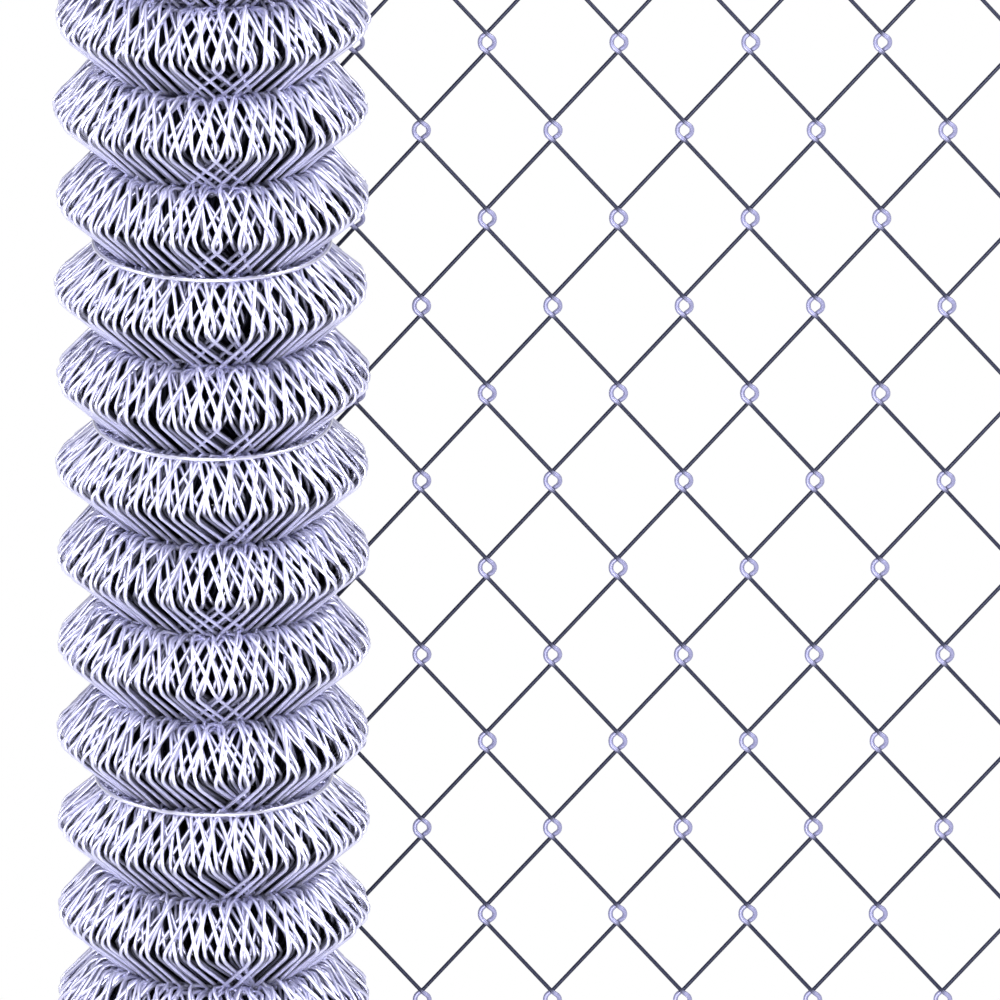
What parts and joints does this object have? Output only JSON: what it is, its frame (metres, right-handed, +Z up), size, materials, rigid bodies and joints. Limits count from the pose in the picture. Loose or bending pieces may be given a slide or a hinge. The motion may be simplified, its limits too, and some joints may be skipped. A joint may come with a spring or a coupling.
{
  "type": "roll of chain-link fencing",
  "caption": "Compact upright roll of galvanised chain-link fence mesh, bound with tie wires, with its loose end drawn out flat to one side.",
  "frame": {"origin": "on the roll's axis at the floor, at the lower end of its bore", "axes": "+Z up along the roll's axis, +X along the loose end as it leaves the roll, -Y towards the viewer"},
  "size_m": [0.5185, 0.1724, 0.815],
  "materials": {
    "wound_wire": "bright galvanised wire",
    "loose_wire": "galvanised wire, dull on the legs",
    "tie_wire": "bright galvanised wire"
  },
  "bodies": {
    "root": {"rolled_mesh": "wound_wire", "loose_picket_01": "loose_wire", "loose_picket_02": "loose_wire", "loose_picket_03": "loose_wire", "loose_picket_04": "loose_wire", "loose_picket_05": "loose_wire", "loose_picket_06": "loose_wire", "loose_picket_07": "loose_wire", "loose_picket_08": "loose_wire", "loose_picket_09": "loose_wire", "loose_picket_10": "loose_wire", "loose_picket_11": "loose_wire", "loose_picket_12": "loose_wire", "tie_wire_upper": "tie_wire", "tie_wire_middle": "tie_wire", "tie_wire_lower": "tie_wire"}
  },
  "joints": []
}
